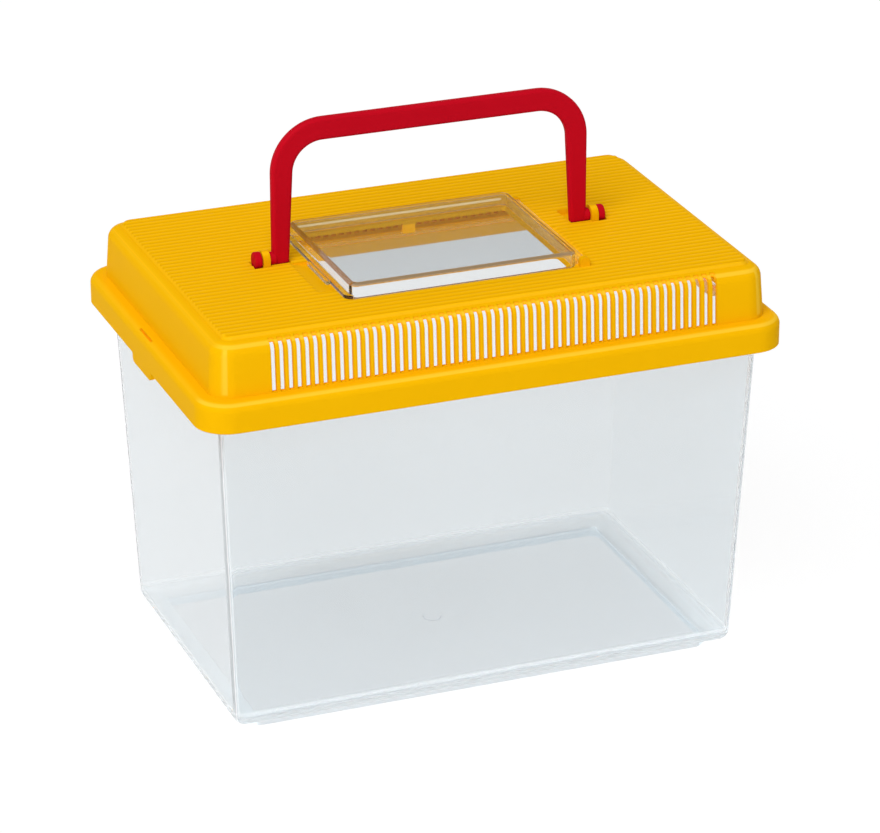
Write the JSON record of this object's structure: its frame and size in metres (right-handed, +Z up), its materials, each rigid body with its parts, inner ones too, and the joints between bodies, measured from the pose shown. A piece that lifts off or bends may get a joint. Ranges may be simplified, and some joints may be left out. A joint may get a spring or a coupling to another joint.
{
  "type": "plastic pet keeper",
  "caption": "Small clear plastic tub for pets with a slotted, ribbed clip-on lid, a clear hinged feeding hatch and a folding carry handle.",
  "frame": {"origin": "under the middle of the foot ring, on the surface it stands on", "axes": "+X along the long side, +Y to the back, +Z up; the hatch is hinged on its +X side"},
  "size_m": [0.232, 0.152, 0.219],
  "materials": {
    "tank": "clear polystyrene, polished",
    "lid": "yellow, satin gloss",
    "hatch": "clear polystyrene, polished",
    "handle": "red, satin gloss"
  },
  "bodies": {
    "tank": {"tank": "tank"},
    "lid": {"lid": "lid"},
    "hatch": {"hatch": "hatch"},
    "handle": {"handle": "handle"}
  },
  "joints": [
    {"name": "lid_lift", "type": "slide", "parent": "tank", "child": "lid", "axis": [0, 0, 1], "range_m": [0, 0.06]},
    {"name": "hatch_hinge", "type": "hinge", "parent": "lid", "child": "hatch", "pos_m": [0.0441, -0.01125, 0.1654], "axis": [0, 1, 0], "range_deg": [0, 25]},
    {"name": "handle_pivot", "type": "hinge", "parent": "lid", "child": "handle", "pos_m": [0, 0, 0.1654], "axis": [-1, 0, 0], "range_deg": [0, 86]}
  ]
}
